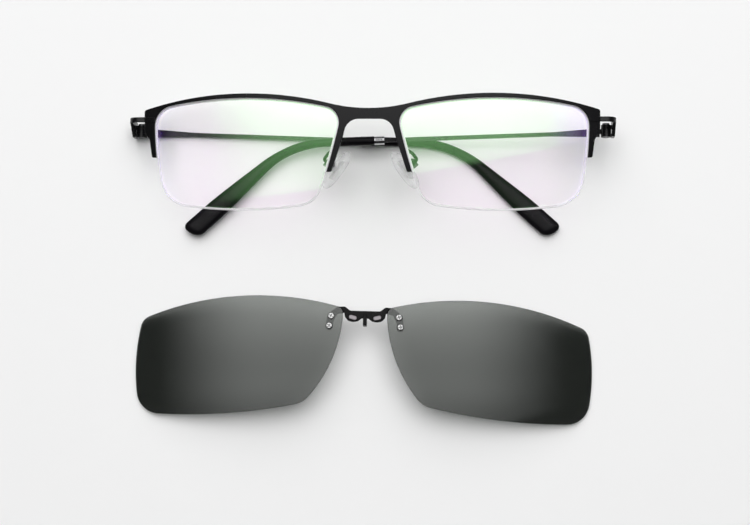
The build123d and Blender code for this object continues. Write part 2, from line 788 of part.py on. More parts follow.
def clip_screw(x, y):
    """Pan head with a cross, its seat on the lens and its end flush with the nut."""
    seat = surface_height(x + clip_head_radius, y)
    length = arm_inner + clip_nut_height
    shank = Pos(x, y, seat - length / 2) * Cylinder(clip_screw_radius, length)
    head = Pos(x, y, seat + clip_head_height) * Cylinder(clip_head_radius, 2 * clip_head_height)
    head = chamfer(head.edges().sort_by(Axis.Z)[-1], clip_head_height / 2)
    head -= ball(clip_radius, 0)
    top = Pos(x, y, seat + 2 * clip_head_height - cross_depth / 2)
    for quarter in range(2):
        head -= top * Rot(Z=cross_turn + 90 * quarter) * Box(cross_length, cross_width, cross_depth)
    return single(head + (shank & ball(clip_radius, -seat_gap)))


def clip_nut(x, y):
    """Hexagon nut behind the arm."""
    outline = Pos(x, y) * RegularPolygon(clip_nut_radius, 6)
    outline -= Pos(x, y) * Circle(clip_screw_radius + running_gap)
    return single(domed(outline, clip_radius, arm_inner + seat_gap, arm_inner + clip_nut_height))


def clip_bush(x, y):
    """Clear sleeve that keeps the screw off the lens."""
    outline = Pos(x, y) * (Circle(bush_radius) - Circle(clip_screw_radius + running_gap))
    return single(domed(outline, clip_radius, seat_gap, clip_lens_thickness))


def both_sides(name, shape, place_left, place_right=None, other=None):
    """A piece on the wearer's left, at +X, and the mirror image of it or of the other on the right."""
    right = mirror(other or shape, about=Plane.YZ)
    return {
        "left_" + name: place_left * shape,
        "right_" + name: (place_right or place_left) * right,
    }


def places():
    """Where the front, its two hinges, the opened lower temple and the shade lie."""
    settle = Pos(0, 0, strap_outer - hinge_z)
    lean = Pos(-hinge_x, 0, hinge_z) * Rot(Y=-roll) * Pos(hinge_x, 0, -hinge_z)
    hinged = settle * lean
    left_hinge = hinged * Pos(hinge_x, hinge_y, hinge_z)
    right_hinge = hinged * Pos(-hinge_x, hinge_y, hinge_z)
    clip_height = -surface_height(clip_lens_left + clip_lens_width, 0) + clip_lens_thickness
    laid = Pos(clip_offset[0], clip_offset[1], clip_height) * Rot(Z=clip_turn)
    return hinged * tilt, left_hinge, right_hinge, right_hinge * Rot(Y=roll), laid


def build():
    """Every node in its place on the table."""
    faced, left_hinge, right_hinge, right_open, laid = places()
    pad_left = pad_plane().location
    nodes = {"front_frame": faced * front_frame()}
    nodes |= both_sides("lens", lens(), faced)
    nodes |= both_sides("rim_liner", rim_liner(), faced)
    nodes |= both_sides("lens_cord", lens_cord(), faced)
    nodes |= both_sides("bridge_magnet", bridge_magnet(0, 0), faced)
    nodes |= both_sides("pad_arm", pad_arm(), faced)
    nodes |= both_sides("pad_screw", pad_left * pad_screw(), faced)
    nodes |= both_sides("nose_pad", pad_left * nose_pad(), faced)
    nodes |= both_sides("pad_insert", pad_left * pad_insert(), faced)
    nodes |= both_sides("end_piece", end_piece(), left_hinge, right_hinge)
    nodes |= both_sides("hinge_screw", hinge_screw(), left_hinge, right_hinge)
    upper, lower = (Rot(Z=droop) for droop in temple_droops)
    spring, other_spring = (temple(droop) for droop in temple_droops)
    nodes |= both_sides("temple", spring, left_hinge, right_open, other_spring)
    for name, shape in (("temple_collar", temple_collar()), ("temple_tip", temple_tip())):
        nodes |= both_sides(name, upper * shape, left_hinge, right_open, lower * shape)
    nodes |= both_sides("clip_lens", clip_lens(), laid)
    nodes |= both_sides("clip_magnet", clip_magnet(0), laid)
    nodes["clip_bridge"] = laid * clip_bridge()
    for name, make in (("screws", clip_screw), ("nuts", clip_nut), ("bushes", clip_bush)):
        side = [make(x, y) for x, y in clip_screw_places]
        other = [mirror(piece, about=Plane.YZ) for piece in side]
        nodes["clip_lens_" + name] = laid * Compound(children=side + other)
    return nodes


def centred(nodes):
    """The nodes with the middle of their box's foot at the origin."""
    boxes = [shape.bounding_box() for shape in nodes.values()]
    low = [min(getattr(box.min, axis) for box in boxes) for axis in "XYZ"]
    high = [max(getattr(box.max, axis) for box in boxes) for axis in "XYZ"]
    shift = Pos(-(low[0] + high[0]) / 2, -(low[1] + high[1]) / 2, -low[2])
    return {name: shift * shape for name, shape in nodes.items()}, shift


if __name__ == "__main__":
    os.makedirs("parts", exist_ok=True)
    placed, _ = centred(build())
    for name, shape in placed.items():
        export_step(shape, f"parts/{name}.step")
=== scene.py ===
import json
import math

import bpy
from mathutils import Matrix, Vector
from mathutils.geometry import delaunay_2d_cdt


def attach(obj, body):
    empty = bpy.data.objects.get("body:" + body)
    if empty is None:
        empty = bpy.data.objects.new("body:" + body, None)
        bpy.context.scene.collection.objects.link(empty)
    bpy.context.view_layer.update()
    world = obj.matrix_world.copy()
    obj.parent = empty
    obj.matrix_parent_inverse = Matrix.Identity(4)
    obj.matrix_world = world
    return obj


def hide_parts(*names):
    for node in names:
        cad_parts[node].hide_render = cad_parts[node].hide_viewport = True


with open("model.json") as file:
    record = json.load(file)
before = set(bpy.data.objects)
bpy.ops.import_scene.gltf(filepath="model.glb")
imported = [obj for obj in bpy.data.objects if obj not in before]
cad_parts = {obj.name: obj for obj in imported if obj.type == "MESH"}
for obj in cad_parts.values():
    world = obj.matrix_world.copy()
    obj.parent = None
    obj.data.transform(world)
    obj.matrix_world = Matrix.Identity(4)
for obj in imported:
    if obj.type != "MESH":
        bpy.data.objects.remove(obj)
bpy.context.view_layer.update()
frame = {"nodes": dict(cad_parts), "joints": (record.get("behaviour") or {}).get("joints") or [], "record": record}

# Lenses, seen from in front. Corners, and the crowns of the sides between them, are
# shares of the width and of the height above the middle. They start at the top next to
# the nose and go outwards round the lens, and so do the roundings of the corners.
lens_left = 8.8
lens_width = 55.4
lens_height = 32.8
lens_centre_y = -0.2
face_radius = 240.0
lens_set = 0.3
lens_thickness = 1.8
lens_edge_round = 0.1
lens_rounds = (4.6, 6.0, 9.0, 7.5)
lens_corner_shares = ((-0.01, 0.39), (1.003, 0.40), (0.957, -0.44), (0.127, -0.435))
lens_side_shares = ((0.51, 0.5), (0.998, 0.0), (0.52, -0.5), (0.045, 0.015))
groove_set = 0.62
groove_width = 0.56
groove_depth = 0.45
rim_gap = 0.33
lens_mesh_step = 2.6

# Front. A leg is given by two corners of its side away from the lens, the end last.
front_depth = 2.2
front_edge_round = 0.16
front_half = 68.0
brow_peak = 17.8
bridge_top = 13.4
bridge_foot = 10.2
corner_top = 12.96
corner_foot = 6.39
corner_rounds = (0.8, 1.6)
arch = (6.5, 10.2)
arch_round = 4.2
knee_round = 12.0
temporal_leg = ((66.427, 4.195), (65.724, -1.2))
nasal_leg = ((7.747, 4.999), (11.099, -5.3))
leg_ends = (nasal_leg[1][1], temporal_leg[1][1])
leg_end_round = 0.6
ridge_y = 10.19
ridge_length = 3.2
ridge_past_corner = 0.02
ridge_half_height = 0.7
ridge_proud = 0.3

# Hinges and temples. The droops are how far the left and the right temple, folded, turn
# in the plane that they lie in.
pantoscopic_tilt = 10.0
roll = 3.0
hinge_x = 70.4
hinge_y = 6.59
hinge_behind_corner = 8.2
corner_fall = face_radius - math.sqrt(face_radius ** 2 - front_half ** 2 - ridge_y ** 2)
hinge_z = -corner_fall - hinge_behind_corner
temple_droops = (2.1, 1.65)
sleeve_start = 69.8
sleeve_lift = -1.2
tip_length = 66.8
tip_lead_length = 14.5
tip_bend_radius = 30.5
tip_bend_angle = 39.9
tip_waist = 2.7
tip_height = 5.9
tip_thickness = 2.7
tip_swell = (26.0, 58.0)
tip_end_round = 2.6
tip_slant_length = 9.0
tip_slants = (0.3, 2.2)

# Nose pads
pad_place = (10.2, -4.9, -10.0)
pad_lean = (0.64, -0.77)
pad_splay = 25.0
pad_stand = 2.45
pad_length = 13.4
pad_width = 7.4
pad_thickness = 2.5
pad_crown = 0.16
pad_rim = 1.1

# Shade. Its lenses are given as those of the glasses are, and its screws on one side.
shade_radius = 242.6
shade_lens_left = 7.0
shade_lens_width = 61.8
shade_lens_height = 35.6
shade_lens_thickness = 1.05
shade_lens_rounds = (2.4, 4.2, 7.0, 7.5)
shade_corner_shares = ((-0.008, 0.41), (0.975, 0.288), (0.972, -0.502), (0.175, -0.388))
shade_side_shares = ((0.41, 0.5), (1.0, -0.02), (0.55, -0.492), (0.036, -0.005))
shade_screws = ((10.1, 12.08), (10.6, 9.18))
bush_bore_radius = 0.85
screw_head_radius = 1.05
screw_shank_radius = 0.5
shade_face_set = 0.1
arm_outer = 1.08
arm_bedding = 0.12
arm_inner = 1.88
shade_turn = -1.1
magnet_x = 3.64
magnet_y = 11.8
magnet_turn = 14.0
magnet_size = (2.4, 1.2)
magnet_thickness = 1.0
magnet_pocket_size = (2.46, 1.26)
magnet_pocket_depth = 1.03

# Outlines of the shade's bridge: x, y and the rounding of each corner. The bar is its
# right half, and its last two corners only lead the line to the middle.
shade_bar = (
    (4.5, 13.8, 1.2), (6.0, 15.0, 1.0), (6.9, 15.0, 0.25), (6.9, 13.9, 0.25),
    (6.25, 13.3, 0.8), (6.0, 11.9, 1.2), (5.0, 10.75, 1.5), (3.4, 10.45, 3.0),
    (2.1, 10.75, 1.0), (1.0, 11.6, 0.4), (0, 11.6, 0), (0, 13.8, 0),
)
shade_arm = (
    (5.9, 15.0, 0.5), (8.15, 15.0, 1.2), (11.25, 12.66, 2.0), (11.75, 7.88, 1.05),
    (9.45, 7.88, 1.05), (9.45, 10.33, 1.2), (8.38, 12.66, 0.8), (5.9, 13.25, 0.3),
)
hook_half = 0.6
hook_foot = 9.4
hook_reach = 5.8

millimetre = Matrix.Scale(0.001, 4)


def shifted(x, y, z):
    return Matrix.Translation((x, y, z))


def turned(angle, axis):
    return Matrix.Rotation(math.radians(angle), 4, axis)


def in_millimetres(rows, name):
    found = next(row for row in rows if row["name"] == name)
    return Vector(found["pos_m"]) * 1000


left_fold = in_millimetres(frame["joints"], "left_temple_fold")
right_fold = in_millimetres(frame["joints"], "right_temple_fold")
shade_dock = in_millimetres(frame["record"]["mounts"], "clip_dock")

leaning = shifted(*right_fold) @ turned(-roll, "Y") @ shifted(hinge_x, -hinge_y, -hinge_z)
tilting = (
    shifted(0, hinge_y, hinge_z)
    @ turned(pantoscopic_tilt, "X")
    @ shifted(0, -hinge_y, -hinge_z)
)
on_front = millimetre @ leaning @ tilting
on_left_temple = (
    millimetre @ shifted(*left_fold) @ turned(-roll, "Y") @ turned(temple_droops[0], "Z")
)
on_right_temple = millimetre @ shifted(*right_fold) @ turned(-temple_droops[1], "Z")
on_shade = (
    millimetre @ shifted(*shade_dock) @ turned(shade_turn, "Z") @ shifted(0, -magnet_y, arm_inner)
)


# Outlines, seen from in front


def circle_through(first, middle, last):
    """Centre and radius of the circle through three places."""
    (ax, ay), (bx, by), (cx, cy) = first, middle, last
    double = 2 * (ax * (by - cy) + bx * (cy - ay) + cx * (ay - by))
    a2, b2, c2 = ax * ax + ay * ay, bx * bx + by * by, cx * cx + cy * cy
    x = (a2 * (by - cy) + b2 * (cy - ay) + c2 * (ay - by)) / double
    y = (a2 * (cx - bx) + b2 * (ax - cx) + c2 * (bx - ax)) / double
    return Vector((x, y)), math.hypot(ax - x, ay - y)


def meeting(one, one_radius, two, two_radius, near):
    """Where two circles cross, nearest a place."""
    apart = two - one
    along = (one_radius ** 2 - two_radius ** 2 + apart.length ** 2) / (2 * apart.length)
    aside = math.sqrt(one_radius ** 2 - along ** 2)
    foot = one + apart.normalized() * along
    sideways = Vector((-apart.y, apart.x)).normalized() * aside
    return min((foot + sideways, foot - sideways), key=lambda point: (point - near).length)


def arc(centre, radius, first, last, steps):
    """Places on an arc from one direction to another, without the last one."""
    start = math.atan2(first.y, first.x)
    sweep = (math.atan2(last.y, last.x) - start + math.pi) % (2 * math.pi) - math.pi
    turns = [start + sweep * step / steps for step in range(steps)]
    return [centre + Vector((math.cos(turn), math.sin(turn))) * radius for turn in turns]


def bowed(box, corner_shares, side_shares, rounds, grow=0.0, side_steps=30, round_steps=9):
    """Closed line of four outward bowed sides with round corners."""
    left, middle_y, width, height = box
    corners = [Vector((left + x * width, middle_y + y * height)) for x, y in corner_shares]
    crowns = [Vector((left + x * width, middle_y + y * height)) for x, y in side_shares]
    count = len(corners)
    nexts = corners[1:] + corners[:1]
    circles = [circle_through(*three) for three in zip(corners, crowns, nexts)]
    inner = []
    for index, size in enumerate(rounds):
        (one, one_radius), (two, two_radius) = circles[index - 1], circles[index]
        inner.append(meeting(one, one_radius - size, two, two_radius - size, corners[index]))
    line = []
    for index, size in enumerate(rounds):
        centre, radius = circles[index]
        here, after = inner[index], inner[(index + 1) % count]
        line += arc(here, size + grow, here - circles[index - 1][0], here - centre, round_steps)
        line += arc(centre, radius + grow, here - centre, after - centre, side_steps)
    return line[::-1]


def lens_line(grow=0.0):
    box = (lens_left, lens_centre_y, lens_width, lens_height)
    return bowed(box, lens_corner_shares, lens_side_shares, lens_rounds, grow, 40, 12)


def shade_lens_line():
    box = (shade_lens_left, 0, shade_lens_width, shade_lens_height)
    return bowed(box, shade_corner_shares, shade_side_shares, shade_lens_rounds)


def rounded_line(corners, steps=6):
    """Line through corners given as x, y and the size of their rounding."""
    line = []
    for index, (x, y, size) in enumerate(corners):
        here = Vector((x, y))
        if not size:
            line.append(here)
            continue
        back = (Vector(corners[index - 1][:2]) - here).normalized()
        ahead = (Vector(corners[(index + 1) % len(corners)][:2]) - here).normalized()
        half = back.angle(ahead) / 2
        centre = here + (back + ahead).normalized() * size / math.sin(half)
        reach = size / math.tan(half)
        first, last = here + back * reach, here + ahead * reach
        line += arc(centre, size, first - centre, last - centre, steps) + [last]
    return line


def above(line, heights):
    """Part of a line that lies above one height on its left and another on its right."""
    left_height, right_height = heights
    middle = sum(point.x for point in line) / len(line)
    kept = [p.y > (right_height if p.x > middle else left_height) for p in line]
    start = next(i for i in range(len(line)) if kept[i] and not kept[i - 1])
    part = []
    for step in range(len(line)):
        index = (start + step) % len(line)
        if not kept[index]:
            break
        part.append(line[index])
    before, after = line[start - 1], line[index]
    first_share = (right_height - before.y) / (part[0].y - before.y)
    last_share = (left_height - part[-1].y) / (after.y - part[-1].y)
    return [before.lerp(part[0], first_share)] + part + [part[-1].lerp(after, last_share)]


def across(line):
    """The same line on the other side of the middle."""
    return [Vector((-point.x, point.y)) for point in line]


def front_line():
    """Outer line of the whole front with its two legs on each side."""
    peak_x = lens_left + lens_width / 2
    reach, fall = front_half - peak_x, brow_peak - corner_top
    brow_radius = (reach ** 2 + fall ** 2) / (2 * fall)
    dip = brow_peak - bridge_top
    dip_radius = (peak_x ** 2 + dip ** 2) / (2 * dip) - brow_radius
    dip_centre = Vector((0, bridge_top + dip_radius))
    brow_centre = Vector((peak_x, brow_peak - brow_radius))
    towards = (brow_centre - dip_centre).normalized()
    line = arc(dip_centre, dip_radius, Vector((0, -1)), towards, 16)
    corner = Vector((front_half, corner_top))
    line += arc(brow_centre, brow_radius, -towards, corner - brow_centre, 44)
    temporal_top, temporal_end = temporal_leg
    knee, nasal_end = nasal_leg
    last = line[-1]
    side = rounded_line(
        [
            (last.x, last.y, 0),
            (front_half, corner_top, corner_rounds[0]),
            (front_half, corner_foot, corner_rounds[1]),
            (*temporal_top, corner_rounds[1]),
            (*temporal_end, leg_end_round),
            (temporal_end[0] - 2, temporal_end[1], 0),
        ]
    )
    line += side[1:-1]
    line += above(lens_line(rim_gap), leg_ends)
    inner = rounded_line(
        [
            (nasal_end[0] + 2, nasal_end[1], 0),
            (*nasal_end, leg_end_round),
            (*knee, knee_round),
            (*arch, arch_round),
            (0, bridge_foot, 0),
        ]
    )
    line += inner[1:-1]
    return (line + across(line)[:0:-1])[::-1]


# Shells made of plates on a dome and of rings. A plate's edge is given by rows of depth,
# growth and two leans of its surface, where the wall before the row ends and where the
# next one starts: 0 faces the front, 90 outwards and 180 the back.


def dome(point, depth, radius):
    """Height of the dome, or of a deeper one about the same centre, over a place."""
    return math.sqrt((radius - depth) ** 2 - point.x ** 2 - point.y ** 2) - radius


def new_shell():
    return {"points": [], "faces": [], "normals": []}


def mitres(loop):
    """At each place of a closed line, how it moves as the line grows by one."""
    moves = []
    for index, here in enumerate(loop):
        first = (here - loop[index - 1]).normalized()
        second = (loop[(index + 1) % len(loop)] - here).normalized()
        one, two = Vector((first.y, -first.x)), Vector((second.y, -second.x))
        moves.append((one + two) / max(1 + one.dot(two), 0.4))
    return moves


def eased(front, back, size):
    """Edge of a plate with both its corners rounded."""
    rows = []
    for lean in (0, 30, 60, 90):
        turn = math.radians(lean)
        rows.append((front + size * (1 - math.cos(turn)), size * (math.sin(turn) - 1), lean, lean))
    for lean in (90, 120, 150, 180):
        turn = math.radians(lean)
        rows.append((back - size * (1 + math.cos(turn)), size * (math.sin(turn) - 1), lean, lean))
    return rows


def inside(loop, point):
    """Whether a line to the right of the place crosses the loop an odd number of times."""
    within = False
    for index, one in enumerate(loop):
        two = loop[index - 1]
        if (one.y > point.y) != (two.y > point.y):
            if point.x < one.x + (point.y - one.y) * (two.x - one.x) / (two.y - one.y):
                within = not within
    return within


def lattice(loops, step):
    """Places spread evenly inside the first line and outside the others."""
    places = [point for loop in loops for point in loop]
    low_x, high_x = min(p.x for p in loops[0]), max(p.x for p in loops[0])
    low_y, high_y = min(p.y for p in loops[0]), max(p.y for p in loops[0])
    found = []
    for row in range(1, int((high_y - low_y) / step) + 1):
        for column in range(int((high_x - low_x) / step) + 2):
            point = Vector((low_x + (column + row % 2 / 2) * step, low_y + row * step))
            if not inside(loops[0], point) or any(inside(loop, point) for loop in loops[1:]):
                continue
            if min((point - place).length for place in places) > step / 2:
                found.append(point)
    return found


def tiles(loops, step):
    """Triangles that fill the first line without the others, and the places added for them."""
    borders, start = [], 0
    for loop in loops:
        border = list(range(start, start + len(loop)))
        borders.append(border if not start else border[::-1])
        start += len(loop)
    flat = [point for loop in loops for point in loop]
    added = lattice(loops, step) if step else []
    _, _, found, sources, _, owners = delaunay_2d_cdt(flat + added, [], borders, 1, 1e-7)
    triangles = []
    for triangle, owner in zip(found, owners):
        if list(owner) != [0]:  # in a hole, or outside
            continue
        one, two, three = (sources[corner][0] for corner in triangle)
        places = [(flat + added)[corner] for corner in (one, two, three)]
        if (places[1] - places[0]).cross(places[2] - places[0]) < 0:
            two, three = three, two
        triangles.append((one, two, three))
    return triangles, added


def add_cap(shell, loops, rings, depth, radius, facing, step):
    """Closes rings of places by a face on the dome, towards the front or the back."""
    triangles, added = tiles(loops, step)
    corners = [corner for ring in rings for corner in ring]
    for point in added:
        corners.append(len(shell["points"]))
        shell["points"].append(Vector((point.x, point.y, dome(point, depth, radius))))
    for triangle in triangles:
        face = [corners[corner] for corner in triangle][::facing]
        shell["faces"].append(face)
        ups = [(shell["points"][corner] + Vector((0, 0, radius))).normalized() for corner in face]
        shell["normals"].append([up * facing for up in ups])


def add_walls(shell, loop, edge, radius):
    """Walls round a closed line. Gives its first and last ring, as places and as points."""
    moves = mitres(loop)
    rings, lines = [], []
    for depth, grow, _, _ in edge:
        line = [point + move * grow for point, move in zip(loop, moves)]
        start = len(shell["points"])
        shell["points"] += [Vector((p.x, p.y, dome(p, depth, radius))) for p in line]
        rings.append(list(range(start, start + len(line))))
        lines.append(line)
    count = len(loop)

    def leaning_normal(corner, index, lean):
        up = (shell["points"][corner] + Vector((0, 0, radius))).normalized()
        out = Vector((moves[index].x, moves[index].y, 0)).normalized()
        turn = math.radians(lean)
        return (up * math.cos(turn) + out * math.sin(turn)).normalized()

    for row in range(len(edge) - 1):
        if (Vector(edge[row][:2]) - Vector(edge[row + 1][:2])).length < 1e-6:
            continue
        top, foot = rings[row], rings[row + 1]
        first, last = edge[row][3], edge[row + 1][2]
        for index in range(count):
            after = (index + 1) % count
            shell["faces"].append([top[index], foot[index], foot[after], top[after]])
            leans = (
                (top, index, first), (foot, index, last), (foot, after, last), (top, after, first),
            )
            shell["normals"].append([leaning_normal(ring[i], i, lean) for ring, i, lean in leans])
    return lines, rings


def add_plate(shell, loop, edge, radius, holes=(), hole_edge=(), blind=False, step=0.0):
    """Plate on a dome, with holes right through or blind ones."""
    lines, rings = add_walls(shell, loop, edge, radius)
    bored = [add_walls(shell, hole, hole_edge, radius) for hole in holes]
    front_lines = [lines[0]] + [hole_lines[0] for hole_lines, _ in bored]
    front_rings = [rings[0]] + [hole_rings[0] for _, hole_rings in bored]
    add_cap(shell, front_lines, front_rings, edge[0][0], radius, 1, step)
    if blind:
        add_cap(shell, [lines[-1]], [rings[-1]], edge[-1][0], radius, -1, step)
        for hole_lines, hole_rings in bored:
            floor_line, floor_ring = hole_lines[-1][::-1], hole_rings[-1][::-1]
            add_cap(shell, [floor_line], [floor_ring], hole_edge[-1][0], radius, 1, 0)
        return
    back_lines = [lines[-1]] + [hole_lines[-1] for hole_lines, _ in bored]
    back_rings = [rings[-1]] + [hole_rings[-1] for _, hole_rings in bored]
    add_cap(shell, back_lines, back_rings, edge[-1][0], radius, -1, step)


def add_rings(shell, rings):
    """Closed skin through rings of places, with a flat face at each end."""
    start = len(shell["points"])
    count = len(rings[0])
    shell["points"] += [point for ring in rings for point in ring]
    faces = []
    for row in range(len(rings) - 1):
        first = start + row * count
        for index in range(count):
            after = (index + 1) % count
            second = first + count
            faces.append([first + index, second + index, second + after, first + after])
    ends = ((start, 1), (start + (len(rings) - 1) * count, -1))
    for first, way in ends:
        faces.append([first + index for index in range(count)][::way])
    volume = 0.0
    for face in faces:
        one = shell["points"][face[0]]
        for corner in range(1, len(face) - 1):
            two, three = shell["points"][face[corner]], shell["points"][face[corner + 1]]
            volume += one.dot(two.cross(three))
    if volume < 0:
        faces = [face[::-1] for face in faces]
    shell["faces"] += faces
    shell["normals"] += [[Vector((0, 0, 0))] * len(face) for face in faces]


def placed(name, shell, place, mirrored=False, sharp=35.0):
    """Makes the piece, in metres, where "place" puts it."""
    points, faces, normals = shell["points"], shell["faces"], shell["normals"]
    if mirrored:
        flip = Matrix.Diagonal((-1, 1, 1))
        points = [flip @ point for point in points]
        faces = [face[::-1] for face in faces]
        normals = [[flip @ normal for normal in row[::-1]] for row in normals]
    turn = place.to_3x3() * 1000  # without its scale of a thousandth
    mesh = bpy.data.meshes.new(name)
    mesh.from_pydata([place @ point for point in points], [], faces)
    mesh.shade_smooth()
    mesh.set_sharp_from_angle(angle=math.radians(sharp))
    mesh.normals_split_custom_set([turn @ normal for row in normals for normal in row])
    mesh.update()
    piece = bpy.data.objects.new(name, mesh)
    bpy.context.scene.collection.objects.link(piece)
    return piece


def dressed(piece, body, finish, *nodes, slot=None):
    """Gives a piece its finish and body and hides the nodes it stands for; the slot isn't used."""
    piece.data.materials.clear()
    piece.data.materials.append(finishes[finish])
    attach(piece, body)
    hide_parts(*nodes)
    return piece


def both(name, make, place, body, finish):
    """A piece on the wearer's left and its mirror image on the right."""
    for side, mirrored in (("left", False), ("right", True)):
        node = f"{side}_{name}"
        dressed(placed(f"{node}_shape", make(), place, mirrored), body, finish, node)


# Finishes

grain_depth = 0.00002
# Distances out from the middle over which the lenses' reflections turn a painted violet
painted_violet_span = (0.05, 0.066)


def add_node(tree, kind, sockets, **settings):
    """Adds a node. Each of its sockets is set to a value or linked to a socket given for it."""
    made = tree.nodes.new(kind)
    for name, value in settings.items():
        setattr(made, name, value)
    for name, value in sockets.items():
        if isinstance(value, bpy.types.NodeSocket):
            tree.links.new(value, made.inputs[name])
        else:
            made.inputs[name].default_value = value
    return made


def worked_out(tree, operation, *values):
    sockets = dict(enumerate(values))
    return add_node(tree, "ShaderNodeMath", sockets, operation=operation).outputs["Value"]


def soft_step(tree, value, start, end):
    """0 before the start, 1 past the end, and smooth between them."""
    sockets = {"Value": value, "From Min": start, "From Max": end}
    step = add_node(tree, "ShaderNodeMapRange", sockets, interpolation_type="SMOOTHSTEP")
    return step.outputs["Result"]


def grain(tree, place, scale):
    """Cloudy noise, most of it between 0.3 and 0.7."""
    sockets = {"Vector": place, "Scale": scale, "Detail": 3.0}
    return add_node(tree, "ShaderNodeTexNoise", sockets).outputs["Fac"]


def ranged(tree, noise, low, high):
    """Number that goes from low to high with the noise."""
    sockets = {"Value": noise, "From Min": 0.3, "From Max": 0.7, "To Min": low, "To Max": high}
    return add_node(tree, "ShaderNodeMapRange", sockets).outputs["Result"]


def between(tree, share, one, two):
    """Colour between two others, which are colours or come from other nodes."""
    sockets = {"Factor": share}
    for name, colour in (("A", one), ("B", two)):
        sockets[name] = colour if isinstance(colour, bpy.types.NodeSocket) else (*colour, 1)
    return add_node(tree, "ShaderNodeMix", sockets, data_type="RGBA").outputs["Result"]


def new_finish(name):
    finish = bpy.data.materials.new(name)
    finish.use_nodes = True
    finish.node_tree.nodes.clear()
    place = add_node(finish.node_tree, "ShaderNodeTexCoord", {}).outputs["Object"]
    return finish, finish.node_tree, place


def solid_finish(name, one, two, rough, metal=0.0, gloss=0.5, alpha=1.0, scale=900.0, bump=0.1):
    """Finish with a fine grain in its colour, its roughness and its surface."""
    finish, tree, place = new_finish(name)
    cloudy, fine = grain(tree, place, scale / 6), grain(tree, place, scale)
    sockets = {"Strength": bump, "Distance": grain_depth, "Height": fine}
    lump = add_node(tree, "ShaderNodeBump", sockets)
    sockets = {
        "Base Color": between(tree, cloudy, one, two),
        "Roughness": ranged(tree, cloudy, *rough),
        "Metallic": metal,
        "Specular IOR Level": gloss,
        "Alpha": alpha,
        "Normal": lump.outputs["Normal"],
    }
    shader = add_node(tree, "ShaderNodeBsdfPrincipled", sockets)
    add_node(tree, "ShaderNodeOutputMaterial", {"Surface": shader.outputs["BSDF"]})
    return finish


def clear_finish(name, passed, mirrored, ends=None, back=None):
    """Clear wall: what it mirrors is added to what passes through it.

    "ends" holds both colours towards the outer ends of the pair. They are set by place, as a
    painted reflection colour, violet in the mirror, for how a coating looks when seen aslant.
    "back" holds both colours of the wall's back, after the dome's centre and the radius that
    parts it from the front.
    """
    finish, tree, place = new_finish(name)
    cloudy = grain(tree, place, 60.0)
    if back:
        centre, parting_radius, back_passed, back_mirrored = back
        radius = add_node(tree, "ShaderNodeVectorMath", {0: place, 1: centre}, operation="DISTANCE")
        on_back = worked_out(tree, "LESS_THAN", radius.outputs["Value"], parting_radius)
        through = between(tree, on_back, passed, back_passed)
        mirror = between(tree, on_back, mirrored, back_mirrored)
    else:
        through = between(tree, cloudy, [0.985 * part for part in passed], passed)
        mirror = between(tree, cloudy, [0.94 * part for part in mirrored], mirrored)
    # Painted reflection colour: by place, the outer ends take the colours of a coating seen aslant
    if ends:
        sideways = add_node(tree, "ShaderNodeSeparateXYZ", {"Vector": place}).outputs["X"]
        painted_violet_share = soft_step(tree, worked_out(tree, "ABSOLUTE", sideways), *painted_violet_span)
        through = between(tree, painted_violet_share, through, ends[0])
        mirror = between(tree, painted_violet_share, mirror, ends[1])
    film = add_node(tree, "ShaderNodeBsdfTransparent", {"Color": through})
    sockets = {"Color": mirror, "Roughness": ranged(tree, cloudy, 0.01, 0.03)}
    gloss = add_node(tree, "ShaderNodeBsdfGlossy", sockets)
    sockets = {0: film.outputs["BSDF"], 1: gloss.outputs["BSDF"]}
    both_of = add_node(tree, "ShaderNodeAddShader", sockets)
    add_node(tree, "ShaderNodeOutputMaterial", {"Surface": both_of.outputs["Shader"]})
    return finish


